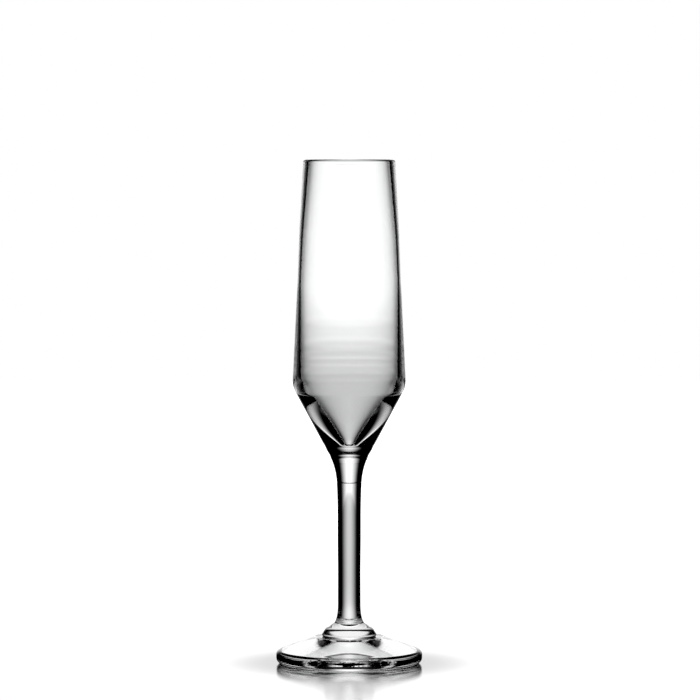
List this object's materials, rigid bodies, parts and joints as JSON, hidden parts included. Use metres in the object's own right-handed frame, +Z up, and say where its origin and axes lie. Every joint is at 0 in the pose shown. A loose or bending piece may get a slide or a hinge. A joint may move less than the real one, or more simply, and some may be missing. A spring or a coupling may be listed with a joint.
{
  "type": "champagne flute",
  "caption": "Tall clear-glass flute: a blown bowl with an angular shoulder and thick conical base on a drawn stem, a domed merese and a broad conical foot.",
  "frame": {"origin": "centre of the foot's standing ring, on the table plane", "axes": "+Z up along the flute's axis of revolution; X and Y are equal, since every piece is round"},
  "size_m": [0.0742, 0.0742, 0.2555],
  "materials": {
    "clear_glass": "clear, fire-polished, hand-blown"
  },
  "bodies": {
    "root": {"bowl": "clear_glass", "stem": "clear_glass", "merese": "clear_glass", "foot": "clear_glass"}
  },
  "joints": []
}
